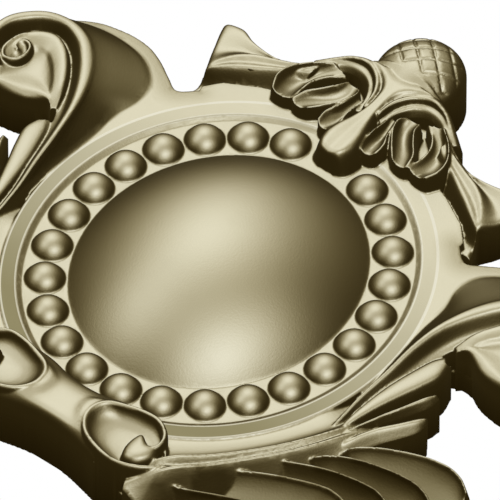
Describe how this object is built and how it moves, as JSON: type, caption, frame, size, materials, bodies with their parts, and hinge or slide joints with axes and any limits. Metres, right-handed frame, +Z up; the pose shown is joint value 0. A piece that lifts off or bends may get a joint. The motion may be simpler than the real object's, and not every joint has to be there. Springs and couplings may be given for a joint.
{
  "type": "wall cartouche",
  "caption": "Cast wall cartouche: plain oval boss in a ring of pearls, crowned by a bow and an acorn, between leaf volutes, flutes, acanthus leaves and two scrolls, with a flat back.",
  "frame": {"origin": "on the flat back, behind the middle of the oval boss", "axes": "+Z up towards the acorn, +X to the viewer's right, +Y out of the flat back into the wall, so the carved face looks along -Y"},
  "size_m": [0.381, 0.056, 0.3323],
  "materials": {
    "bronze": "pale antique bronze, cast and burnished to a soft sheen, darker in the hollows"
  },
  "bodies": {
    "root": {"cartouche": "bronze"}
  },
  "joints": []
}
